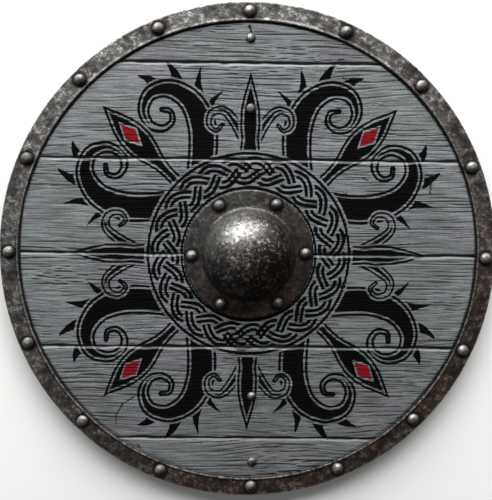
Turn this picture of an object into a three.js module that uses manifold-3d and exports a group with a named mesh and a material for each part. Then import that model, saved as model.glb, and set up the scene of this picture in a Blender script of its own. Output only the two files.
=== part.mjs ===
// A wooden round shield, lying on its back with the painted front up.
//
// Six planks run left to right and are cut to one disc. A folded steel rim clasps their
// edge, a domed steel boss covers the hand hole, and a wooden grip bar runs from top to
// bottom across the back. Domed rivets hold the rim, the boss and the bar.
//
// Millimetres. +Z points out of the front, +Y to the shield's top and +X to its right as
// one looks at the front. The origin is behind the middle of the boss, level with the grip
// bar's underside, on which the shield lies.

import * as THREE from "three";
import { mergeVertices } from "three/addons/utils/BufferGeometryUtils.js";
import Module from "manifold-3d";

// ---- Driving dimensions ----

const FIT_GAP = 0.3; // between pieces that touch

const SHIELD_RADIUS = 305;
const PLANK_THICKNESS = 12;
const PLANK_WIDTH = 116; // seam to seam, across the grain
const SEAM_GAP = 0.5;
const SEAM_CHAMFER_WIDTH = 2.6;
const SEAM_CHAMFER_DEPTH = 1.9;
const HAND_HOLE_RADIUS = 52;
const HAND_HOLE_SEGMENTS = 32;

const SHEET = 2; // thickness of the steel of rim and boss
const RIM_BAND_WIDTH = 23; // how far the rim reaches in over the planks
const RIM_FOLD_RADIUS = 2.5; // outside radius of its two folds
const RIM_BEAD_WIDTH = 3; // the rolled inner edge on the front
const RIM_BEAD_HEIGHT = 1.3;
const RIM_SEGMENTS = 64; // four to each rivet

const BOSS_FLANGE_RADIUS = 80;
const BOSS_FLANGE_BEVEL = [1.2, 0.8]; // in, and down, along its edge
const BOSS_DOME_RADIUS = 56; // outside, at the foot of the dome
const BOSS_DOME_HEIGHT = 54; // above the flange's face
const BOSS_WALL_HEIGHT = 7; // nearly upright foot of the dome, under its cap
const BOSS_WALL_LEAN = 1;
const BOSS_FOOT_SPREAD = 3; // how far the foot flares out into the flange
const BOSS_CAP_STEPS = 6; // from its wall to its crown
const BOSS_SEGMENTS = 48;

const BAR_THICKNESS = 12;
const BAR_HALF_LENGTH = 274;
const BAR_EDGE = 2.5; // chamfer along its edges
const BAR_GRIP_HALF_WIDTH = 14; // where the hand closes on it
const BAR_END_HALF_WIDTH = 10;
const BAR_TAPER_START = 80; // from here it narrows to its ends
const BAR_TURN = 0.85; // degrees that it leans off the upright
const BAR_SHIFT = 3.3; // its middle lies this far to the right of the boss's

const SHANK_RADIUS = 2.5;
const RIVET_SIDES = 8;
const TAIL_RADIUS = 4.6;
const TAIL_THICKNESS = 2;
const COUNTERBORE_RADIUS = 6;
const COUNTERBORE_DEPTH = 3.2;

const RIM_RIVETS = { count: 16, ring: 293, start: 90, radius: 7.6, height: 5.8 };
const BOSS_RIVETS = { count: 6, ring: 70.2, start: 1.5, radius: 7.2, height: 5.8 };
const GRIP_RIVET = { radius: 6, height: 4.2 };
const GRIP_RIVET_ALONG = [262, 178, -178, -262]; // up the bar from its middle

// Degrees that each rim rivet stands off its even place, as they were set by eye.
const RIM_RIVET_STRAY = [
  0.4, -0.4, 0, -0.5, -0.4, -1.1, 0.5, 0.65, 1.2, 1, 0.8, 0, -0.1, -0.5, -0.5, -0.15,
];

// ---- Heights, from the underside up ----

const PLANK_BACK = BAR_THICKNESS + FIT_GAP;
const PLANK_FRONT = PLANK_BACK + PLANK_THICKNESS;
const SHEET_BACK = PLANK_FRONT + FIT_GAP; // underside of the steel on the front
const SHEET_FRONT = SHEET_BACK + SHEET;
const RIM_BACK = PLANK_BACK - FIT_GAP - SHEET;
const RIM_INNER_RADIUS = SHIELD_RADIUS - RIM_BAND_WIDTH;
const PLANK_DISC_RADIUS = SHIELD_RADIUS - SHEET - 3 * FIT_GAP;

const STEEL = { color: 0x4b4844, roughness: 0.45, metalness: 0.9 };
const PAINTED_WOOD = { color: 0x80878a, roughness: 0.75, metalness: 0 };
const BARE_WOOD = { color: 0x6b5644, roughness: 0.8, metalness: 0 };
const BRIGHT_STEEL = { color: 0x8d8d8b, roughness: 0.35, metalness: 0.9 };

// ---- Solids ----

const wasm = await Module();
wasm.setup();

// A three.js geometry as a solid that can be cut and joined.
function solidOf(geometry) {
  const bare = geometry.index ? geometry.toNonIndexed() : geometry.clone();
  bare.deleteAttribute("normal");
  bare.deleteAttribute("uv");
  const merged = mergeVertices(bare, 1e-4);
  return new wasm.Manifold(
    new wasm.Mesh({
      numProp: 3,
      vertProperties: merged.attributes.position.array,
      triVerts: new Uint32Array(merged.index.array),
    }),
  );
}

function geometryOf(solid) {
  const mesh = solid.getMesh();
  const geometry = new THREE.BufferGeometry();
  geometry.setAttribute("position", new THREE.BufferAttribute(mesh.vertProperties, mesh.numProp));
  geometry.setIndex(new THREE.BufferAttribute(mesh.triVerts, 1));
  return geometry;
}

function named(name, geometry, look) {
  const mesh = new THREE.Mesh(geometry, new THREE.MeshStandardMaterial(look));
  mesh.name = name;
  return mesh;
}

// A closed [radius, height] outline turned about +Z.
function turned(outline, segments) {
  const points = outline.map(([radius, height]) => new THREE.Vector2(radius, height));
  return new THREE.LatheGeometry(points, segments).rotateX(Math.PI / 2);
}

// An upright cylinder between two heights.
function post(radius, bottom, top, sides, x = 0, y = 0) {
  return new THREE.CylinderGeometry(radius, radius, top - bottom, sides)
    .rotateX(Math.PI / 2)
    .translate(x, y, (bottom + top) / 2);
}

// Points of an arc in a [radius, height] outline, angles in degrees.
function arc(centreRadius, centreHeight, size, from, to, steps) {
  return Array.from({ length: steps + 1 }, (_, i) => {
    const angle = THREE.MathUtils.degToRad(from + ((to - from) * i) / steps);
    return [centreRadius + size * Math.cos(angle), centreHeight + size * Math.sin(angle)];
  });
}

// ---- Rivets ----

// Where the rivets of one ring stand, as [x, y], clockwise from its start.
function ringPlaces({ count, ring, start }, stray = []) {
  return Array.from({ length: count }, (_, i) => {
    const angle = THREE.MathUtils.degToRad(start - (360 * i) / count + (stray[i] ?? 0));
    return [ring * Math.cos(angle), ring * Math.sin(angle)];
  });
}

const barTurn = THREE.MathUtils.degToRad(BAR_TURN);
const rimPlaces = ringPlaces(RIM_RIVETS, RIM_RIVET_STRAY);
const bossPlaces = ringPlaces(BOSS_RIVETS);
const gripPlaces = GRIP_RIVET_ALONG.map((along) => [
  BAR_SHIFT - along * Math.sin(barTurn),
  along * Math.cos(barTurn),
]);

// A rivet: domed head on the front at seat, shank, and a hammered tail at the back.
function rivet([x, y], { radius, height }, seat, tailTop) {
  const outline = [
    [0, tailTop - TAIL_THICKNESS],
    [TAIL_RADIUS, tailTop - TAIL_THICKNESS],
    [TAIL_RADIUS, tailTop],
    [SHANK_RADIUS, tailTop],
    [SHANK_RADIUS, seat],
    [radius, seat],
    [radius * 0.88, seat + height * 0.5],
    [radius * 0.5, seat + height * 0.87],
    [0, seat + height],
  ];
  return turned(outline, RIVET_SIDES).translate(x, y, 0);
}

const HOLE_RADIUS = SHANK_RADIUS + FIT_GAP;
const rivetHoles = [...rimPlaces, ...bossPlaces, ...gripPlaces].map(([x, y]) =>
  solidOf(post(HOLE_RADIUS, -1, SHEET_FRONT + 5, RIVET_SIDES, x, y)),
);

function drilled(solid) {
  return rivetHoles.reduce((cut, hole) => cut.subtract(hole), solid);
}

// ---- Planks ----

const disc = solidOf(post(PLANK_DISC_RADIUS, PLANK_BACK - 1, PLANK_FRONT + 1, RIM_SEGMENTS));
const handHole = solidOf(
  post(HAND_HOLE_RADIUS, PLANK_BACK - 2, PLANK_FRONT + 2, HAND_HOLE_SEGMENTS),
);

// A straight board between two seams, with both front edges chamfered.
function board(low, high) {
  const bottom = low + SEAM_GAP / 2;
  const top = high - SEAM_GAP / 2;
  const section = new THREE.Shape([
    new THREE.Vector2(bottom, PLANK_BACK),
    new THREE.Vector2(top, PLANK_BACK),
    new THREE.Vector2(top, PLANK_FRONT - SEAM_CHAMFER_DEPTH),
    new THREE.Vector2(top - SEAM_CHAMFER_WIDTH, PLANK_FRONT),
    new THREE.Vector2(bottom + SEAM_CHAMFER_WIDTH, PLANK_FRONT),
    new THREE.Vector2(bottom, PLANK_FRONT - SEAM_CHAMFER_DEPTH),
  ]);
  const length = 2 * SHIELD_RADIUS;
  const blank = new THREE.ExtrudeGeometry(section, { depth: length, bevelEnabled: false });
  // The section is drawn in Y and Z, and the board runs along X.
  const axes = new THREE.Matrix4().makeBasis(
    new THREE.Vector3(0, 1, 0),
    new THREE.Vector3(0, 0, 1),
    new THREE.Vector3(1, 0, 0),
  );
  return solidOf(blank.applyMatrix4(axes).translate(-length / 2, 0, 0));
}

function plank(low, high) {
  return geometryOf(drilled(board(low, high).intersect(disc).subtract(handHole)));
}

const EDGE = SHIELD_RADIUS + 10; // past the disc, so an outer plank has only one seam
const seams = [-EDGE, -2 * PLANK_WIDTH, -PLANK_WIDTH, 0, PLANK_WIDTH, 2 * PLANK_WIDTH, EDGE];
const plankNames = [
  "plank_bottom",
  "plank_lower",
  "plank_lower_middle",
  "plank_upper_middle",
  "plank_upper",
  "plank_top",
];

// ---- Rim ----

// A U of sheet folded round the planks' edge, with a rolled bead on the front's inner edge.
function rim() {
  const foldRadius = SHIELD_RADIUS - RIM_FOLD_RADIUS;
  const beadCentre = RIM_INNER_RADIUS + RIM_BEAD_WIDTH / 2;
  const bead = arc(0, 0, 1, 0, 180, 3).map(([across, up]) => [
    beadCentre + (across * RIM_BEAD_WIDTH) / 2,
    SHEET_FRONT + up * RIM_BEAD_HEIGHT,
  ]);
  const outline = [
    [RIM_INNER_RADIUS, RIM_BACK],
    ...arc(foldRadius, RIM_BACK + RIM_FOLD_RADIUS, RIM_FOLD_RADIUS, -90, 0, 2),
    ...arc(foldRadius, SHEET_FRONT - RIM_FOLD_RADIUS, RIM_FOLD_RADIUS, 0, 90, 2),
    ...bead,
    [RIM_INNER_RADIUS, SHEET_BACK],
    [SHIELD_RADIUS - SHEET, SHEET_BACK],
    [SHIELD_RADIUS - SHEET, RIM_BACK + SHEET],
    [RIM_INNER_RADIUS, RIM_BACK + SHEET],
    [RIM_INNER_RADIUS, RIM_BACK],
  ];
  return geometryOf(drilled(solidOf(turned(outline, RIM_SEGMENTS))));
}

// ---- Boss ----

// The dome's line from its foot to its crown, drawn in by inset for the inside of the sheet.
function domeLine(inset, foot) {
  const radius = BOSS_DOME_RADIUS - inset;
  const shoulder = SHEET_FRONT + BOSS_WALL_HEIGHT;
  const rise = BOSS_DOME_HEIGHT - BOSS_WALL_HEIGHT - inset;
  const cap = arc(0, 0, 1, 0, 90, BOSS_CAP_STEPS).map(([across, up]) => [
    across * (radius - BOSS_WALL_LEAN),
    shoulder + up * rise,
  ]);
  cap[BOSS_CAP_STEPS][0] = 0; // the crown is on the axis
  return [[radius + BOSS_FOOT_SPREAD, foot], [radius, foot + BOSS_FOOT_SPREAD], ...cap];
}

// Flange and dome raised from one sheet, hollow behind for the hand.
function boss() {
  const outside = domeLine(0, SHEET_FRONT);
  const inside = domeLine(SHEET, SHEET_BACK).reverse();
  const [bevelIn, bevelDown] = BOSS_FLANGE_BEVEL;
  const outline = [
    ...inside,
    [BOSS_FLANGE_RADIUS, SHEET_BACK],
    [BOSS_FLANGE_RADIUS, SHEET_FRONT - bevelDown],
    [BOSS_FLANGE_RADIUS - bevelIn, SHEET_FRONT],
    ...outside,
  ];
  return geometryOf(drilled(solidOf(turned(outline, BOSS_SEGMENTS))));
}

// ---- Grip bar ----

// A straight bar, even where the hand closes on it and tapered from there to both ends,
// leaning a little to the left at the top.
function gripBar() {
  const end = BAR_HALF_LENGTH - BAR_EDGE;
  const side = [
    new THREE.Vector2(BAR_END_HALF_WIDTH - BAR_EDGE, -end),
    new THREE.Vector2(BAR_GRIP_HALF_WIDTH - BAR_EDGE, -BAR_TAPER_START),
    new THREE.Vector2(BAR_GRIP_HALF_WIDTH - BAR_EDGE, BAR_TAPER_START),
    new THREE.Vector2(BAR_END_HALF_WIDTH - BAR_EDGE, end),
  ];
  const otherSide = side.map(({ x, y }) => new THREE.Vector2(-x, y)).reverse();
  const blank = new THREE.ExtrudeGeometry(new THREE.Shape([...side, ...otherSide]), {
    depth: BAR_THICKNESS - 2 * BAR_EDGE,
    bevelThickness: BAR_EDGE,
    bevelSize: BAR_EDGE,
    bevelSegments: 2,
  })
    .rotateZ(barTurn)
    .translate(BAR_SHIFT, 0, BAR_EDGE);
  const counterbored = gripPlaces.reduce(
    (cut, [x, y]) =>
      cut.subtract(solidOf(post(COUNTERBORE_RADIUS, -1, COUNTERBORE_DEPTH, RIVET_SIDES, x, y))),
    solidOf(blank),
  );
  return geometryOf(drilled(counterbored));
}

// ---- The shield ----

const shield = new THREE.Group();

plankNames.forEach((name, i) => {
  shield.add(named(name, plank(seams[i], seams[i + 1]), PAINTED_WOOD));
});
shield.add(named("rim", rim(), STEEL));
shield.add(named("boss", boss(), STEEL));
shield.add(named("grip_bar", gripBar(), BARE_WOOD));

const steelSeat = SHEET_FRONT + FIT_GAP;
const woodSeat = PLANK_FRONT + FIT_GAP;
const twoDigits = (i) => String(i + 1).padStart(2, "0");

rimPlaces.forEach((place, i) => {
  const solid = rivet(place, RIM_RIVETS, steelSeat, RIM_BACK - FIT_GAP);
  shield.add(named("rim_rivet_" + twoDigits(i), solid, BRIGHT_STEEL));
});
bossPlaces.forEach((place, i) => {
  const solid = rivet(place, BOSS_RIVETS, steelSeat, PLANK_BACK - FIT_GAP);
  shield.add(named("boss_rivet_" + (i + 1), solid, BRIGHT_STEEL));
});
gripPlaces.forEach((place, i) => {
  const solid = rivet(place, GRIP_RIVET, woodSeat, COUNTERBORE_DEPTH - FIT_GAP);
  shield.add(named("grip_rivet_" + (i + 1), solid, BRIGHT_STEEL));
});

export default shield;
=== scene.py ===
"""The looks of a round wooden shield that lies on its back with the painted front up.

The planks and the grip bar are worked out as arrays of points, with the grain cut into their
faces. The rim, the boss and the rivets are outlines turned by Geometry Nodes. Lengths in the
code are millimetres, and become metres where a mesh is made or a panel shows them.
"""

import math

import bmesh
import bpy
import numpy as np
from bpy.props import FloatProperty, FloatVectorProperty, IntProperty, PointerProperty
from mathutils import Matrix, Vector


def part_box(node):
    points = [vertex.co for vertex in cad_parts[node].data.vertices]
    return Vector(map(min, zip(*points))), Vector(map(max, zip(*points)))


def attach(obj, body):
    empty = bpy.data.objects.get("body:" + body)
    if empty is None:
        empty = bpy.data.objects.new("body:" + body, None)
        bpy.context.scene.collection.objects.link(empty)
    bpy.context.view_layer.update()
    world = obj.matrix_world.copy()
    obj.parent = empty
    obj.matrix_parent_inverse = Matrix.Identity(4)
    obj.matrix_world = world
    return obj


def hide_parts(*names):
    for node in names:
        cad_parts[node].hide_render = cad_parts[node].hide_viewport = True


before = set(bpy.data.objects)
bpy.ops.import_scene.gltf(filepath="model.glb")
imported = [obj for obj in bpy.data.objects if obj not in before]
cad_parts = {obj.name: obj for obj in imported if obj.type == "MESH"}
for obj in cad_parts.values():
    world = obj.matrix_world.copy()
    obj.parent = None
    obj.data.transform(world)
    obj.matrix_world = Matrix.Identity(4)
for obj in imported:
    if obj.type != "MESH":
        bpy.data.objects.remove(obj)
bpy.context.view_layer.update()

bl_info = {
    "name": "Round Shield",
    "version": (1, 0, 0),
    "blender": (4, 5, 0),
    "location": "View3D > Sidebar > Shield",
    "description": "Builds the planks, steelwork and painted front of a round shield",
    "category": "Object",
}

MM = 0.001
BODY = "root"
FAR = 50.0  # an edge distance that is well outside any painted shape


# ---- Places and sizes taken from the frame ----


def corners(node):
    """The lowest and highest corner of a CAD node, in millimetres."""
    low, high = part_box(node)
    return np.array(low) / MM, np.array(high) / MM


def numbered(prefix):
    """The CAD nodes whose names start with a prefix, in order."""
    return sorted(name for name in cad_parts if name.startswith(prefix))


# The planks from the bottom up, and how much paler each is than usual, by taking off some of the
# painted shade.
PLANKS = {
    "plank_bottom": 0.5,
    "plank_lower": 0.3,
    "plank_lower_middle": 0.35,
    "plank_upper_middle": 0.2,
    "plank_upper": 0.4,
    "plank_top": -0.2,
}
PLANK_LOW, PLANK_HIGH = corners("plank_upper_middle")
PLANK_BACK, PLANK_FRONT = PLANK_LOW[2], PLANK_HIGH[2]
RIM_LOW, RIM_HIGH = corners("rim")
BOSS_LOW, BOSS_HIGH = corners("boss")
BAR_LOW, BAR_HIGH = corners("grip_bar")

# ---- Sizes that the frame's boxes don't hold, as the solids have them ----

HAND_HOLE_RADIUS = 52.0
SHEET = 2.0
RIM_BAND = 23.0
RIM_BEAD = (3.0, 1.3)
RIM_FOLD = 2.5
DOME_RADIUS = 56.0
DOME_WALL = 7.0
DOME_LEAN = 1.0
DOME_FOOT = 3.0
FLANGE_BEVEL = (1.2, 0.8)
BAR_HALF_LENGTH = 274.0
BAR_GRIP_HALF_WIDTH = 14.0
BAR_END_HALF_WIDTH = 10.0
BAR_TAPER_START = 80.0
BAR_EDGE = 2.5
COUNTERBORE = (6.0, 3.2)
SHANK_RADIUS = 2.5
TAIL = (4.6, 2.0)
HEAD_HEIGHTS = {"rim_rivet_": 5.8, "boss_rivet_": 5.8, "grip_rivet_": 4.2}
RIVET_REACH = 7.0  # from the middle of a head to where its painted shade is quite dark
RIVET_DENT_SIZE = 3.5


# ---- What a user may change ----


def plain_number(name, description, default, **settings):
    """A number on a panel."""
    return FloatProperty(name=name, description=description, default=default, **settings)


def whole_number(name, description, default):
    """A whole number on a panel."""
    return IntProperty(name=name, description=description, default=default)


def length(name, description, default):
    """A size on a panel, whose default is given in millimetres."""
    return plain_number(name, description, default * MM, subtype="DISTANCE", unit="LENGTH")


def angle_in_degrees(name, description, default):
    """An angle on a panel, whose default is given in degrees."""
    default = math.radians(default)
    return plain_number(name, description, default, subtype="ANGLE", unit="ROTATION")


def colour(name, description, default):
    """A colour on a panel."""
    settings = {"size": 3, "min": 0, "max": 1, "subtype": "COLOR"}
    return FloatVectorProperty(name=name, description=description, default=default, **settings)


class ShieldWood(bpy.types.PropertyGroup):
    """The planks and the grip bar."""

    column_step: length("Column Step", "Spacing of the mesh along the grain", 1.8)
    row_step: length("Row Step", "Spacing of the mesh across the grain", 0.72)
    groove_depth: length("Groove Depth", "Deepest ordinary groove of the brushed grain", 0.7)
    groove_pitch: length("Groove Pitch", "Usual distance from one groove to the next", 4.2)
    crack_depth: length("Crack Depth", "Depth of the few drying cracks", 1.5)
    seam_width: length("Seam Bevel Width", "Width of the bevel along each seam", 3.4)
    seam_depth: length("Seam Bevel Depth", "Depth of the bevel along each seam", 1.9)
    seed: whole_number("Seed", "Chooses the grain of the planks", 11)
    light: colour("Weathered Wood", "Pale wood between the grooves", (0.232, 0.246, 0.249))
    dark: colour("Groove Wood", "Wood in the bottom of the grooves", (0.034, 0.036, 0.037))
    back: colour("Wood At The Back", "Unpainted wood behind", (0.16, 0.125, 0.09))
    bar: colour("Grip Wood", "Wood of the grip bar", (0.20, 0.125, 0.07))


class ShieldOrnament(bpy.types.PropertyGroup):
    """The painted ornament."""

    ring_radius: length("Ring Radius", "Middle of the plaited ring round the boss", 103)
    ring_width: length("Ring Width", "Width of the plaited ring with its borders", 46)
    strand_width: length("Strand Width", "Width of one strand of the plait", 10.6)
    line_width: length("Line Width", "Width of the bare lines inside the paint", 2.0)
    gap_width: length("Gap Width", "Bare wood left between two painted shapes", 2.2)
    paint: colour("Paint", "Black paint of the ornament", (0.0022, 0.0022, 0.0026))
    accent: colour("Accent", "Red paint of the four lozenges", (0.15, 0.006, 0.009))


class ShieldSteel(bpy.types.PropertyGroup):
    """The rim and the boss."""

    rim_segments: whole_number("Rim Segments", "Steps round the rim", 1080)
    boss_segments: whole_number("Boss Segments", "Steps round the boss", 300)
    dent_depth: length("Dent Depth", "Depth of the hammer marks", 0.42)
    dent_size: length("Dent Size", "Size of the hammer marks", 6.0)
    steel: colour("Steel", "Darkened steel", (0.175, 0.175, 0.168))
    worn: colour("Worn Steel", "Steel rubbed bright", (0.58, 0.58, 0.56))
    rust: colour("Rust", "Brown patches of old rust", (0.050, 0.026, 0.018))
    # The colour of the painted shade on the side away from the light
    painted_shade: colour(
        "Painted Shade", "The dark side that points away from the light", (0.012, 0.010, 0.009)
    )
    # Flakes painted duller where they lie in the painted shade
    flakes: colour("Dull Flakes", "Flakes on the dark side", (0.23, 0.19, 0.155))
    # Painted shadow: the radius of the dark ring painted round each rivet
    rivet_shadow: length("Rivet Shadow", "Radius of the dirt that has gathered round a rivet", 12.5)
    seed: whole_number("Seed", "Chooses the hammer marks", 5)


class ShieldRivets(bpy.types.PropertyGroup):
    """The rivets."""

    sides: whole_number("Sides", "Steps round a rivet", 26)
    uneven: plain_number("Uneven", "How much smaller the smallest head is", 0.03)
    dent_depth: length("Dent Depth", "Depth of the marks on the heads", 0.3)
    steel: colour("Rivet Steel", "Steel of the rivets", (0.46, 0.46, 0.45))
    seed: whole_number("Seed", "Chooses the size of each rivet", 3)


class ShieldStage(bpy.types.PropertyGroup):
    """Floor, light and camera."""

    floor: colour("Floor", "Colour of the floor", (0.83, 0.83, 0.82))
    key_power: plain_number("Key Power", "Main light, in watts", 205.0)
    key_elevation: angle_in_degrees(
        "Key Elevation", "Height of the main light above the floor", 33
    )
    key_turn: angle_in_degrees(
        "Key Turn", "How far the main light stands to the left of the shield's top", 4
    )
    sky: plain_number("Sky", "Strength of the light from above", 0.22)
    backdrop: plain_number("Backdrop", "Brightness behind it all", 0.85)


# ---- Smooth random fields, for the grain ----

CELL = (1.0, 0.25)  # of a field, along and across the grain
FIELD_MARGIN = 12.0  # beyond the wood on every side, so that a shifted sample stays inside


def noise_field(seed, size, along, across, coarser=None):
    """A random field of mean 0 and deviation 1 that changes over the given distances.

    Where coarser is given, what is smooth over that distance across the grain is taken away,
    which leaves bands.
    """
    columns = int(size[0] / CELL[0]) + 1
    rows = int(size[1] / CELL[1]) + 1
    white = np.random.default_rng(seed).standard_normal((rows, columns))
    fx = np.fft.rfftfreq(columns, CELL[0])[None, :]
    fy = np.fft.fftfreq(rows, CELL[1])[:, None]
    falloff = 2 * np.pi**2
    keep = np.exp(-falloff * (across * fy) ** 2)
    if coarser:
        keep = keep - np.exp(-falloff * (coarser * fy) ** 2)
    keep = keep * np.exp(-falloff * (along * fx) ** 2)
    field = np.fft.irfft2(np.fft.rfft2(white) * keep, s=white.shape)
    return (field - field.mean()) / field.std()


def sampled(field, x, y):
    """A field at points given in millimetres from its corner."""
    column = np.clip(x / CELL[0], 0, field.shape[1] - 1.001)
    row = np.clip(y / CELL[1], 0, field.shape[0] - 1.001)
    c, r = column.astype(int), row.astype(int)
    u, v = column - c, row - r
    near = field[r, c] * (1 - u) + field[r, c + 1] * u
    far = field[r + 1, c] * (1 - u) + field[r + 1, c + 1] * u
    return near * (1 - v) + far * v


def rising(value, low, high):
    """0 below low, 1 above high, and a smooth rise between."""
    share = np.clip((value - low) / (high - low), 0, 1)
    return share * share * (3 - 2 * share)


class Grain:
    """The brushed grain of one piece of wood, at points (along, across) from its corner."""

    def __init__(self, seed, size, along, across, pitch):
        size = (size[0] + 2 * FIELD_MARGIN, size[1] + 2 * FIELD_MARGIN)
        x, y = along + FIELD_MARGIN, across + FIELD_MARGIN

        def field(part, along_grain, fine, coarse=None):
            """One random field, at the points; its part is the last of its seeds."""
            return sampled(noise_field((seed, part), size, along_grain, fine, coarse), x, y)

        y = y + 2.6 * field(0, 75, 22) + 0.5 * field(1, 16, 7)
        fine, coarse = 0.13 * pitch, 0.34 * pitch
        calm = 0.5 + 0.5 * rising(field(2, 42, 13), -0.9, 0.5)
        bands, ripples = field(3, 15, fine, coarse), field(4, 5, fine, coarse)
        patch = rising(field(5, 30, 12), 0.5, 1.3)
        self.groove = rising(bands * (1 - patch) + ripples * patch, 0.1, 1.5) * calm
        self.hair = field(6, 13, 0.33, 0.8)
        self.crack = rising(field(7, 26, 0.3, 0.75), 2.7, 3.5)
        self.broad = field(8, 60, 16)
        self.along_edge = field(9, 7, 400)


# ---- Painted ornament: edge distances in millimetres, negative inside the paint ----


def turned_by(x, y, degrees):
    """Points as seen from axes turned by an angle."""
    c, s = math.cos(math.radians(degrees)), math.sin(math.radians(degrees))
    return x * c + y * s, y * c - x * s


PATH_STEP = 2.5


def smooth_path(points):
    """A smooth line through some points, in short even steps (Catmull-Rom)."""
    p = np.array(points, float)
    p = np.vstack([2 * p[0] - p[1], p, 2 * p[-1] - p[-2]])
    path = []
    for a, b, c, d in zip(p[:-3], p[1:-2], p[2:-1], p[3:]):
        steps = max(2, round(np.hypot(*(c - b)) / PATH_STEP))
        t = np.linspace(0, 1, steps, endpoint=False)[:, None]
        cubic = 2 * b + (c - a) * t + (2 * a - 5 * b + 4 * c - d) * t**2
        path.append((cubic + (3 * b - a - 3 * c + d) * t**3) / 2)
    return np.vstack(path + [p[-2:-1]])


def stroke(x, y, path, widths):
    """Distance from the edge of a stroke whose half widths are spread evenly along its path."""
    legs = np.diff(path, axis=0)
    lengths = np.hypot(*legs.T)
    shares = np.concatenate([[0], np.cumsum(lengths)]) / lengths.sum()
    half = np.interp(shares, np.linspace(0, 1, len(widths)), widths)
    best = np.full(x.shape, FAR)
    for start, leg, size, w0, w1 in zip(path, legs, lengths, half, half[1:]):
        dx, dy = x - start[0], y - start[1]
        t = np.clip((dx * leg[0] + dy * leg[1]) / size**2, 0, 1)
        best = np.minimum(best, np.hypot(dx - t * leg[0], dy - t * leg[1]) - w0 - t * (w1 - w0))
    return best


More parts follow.
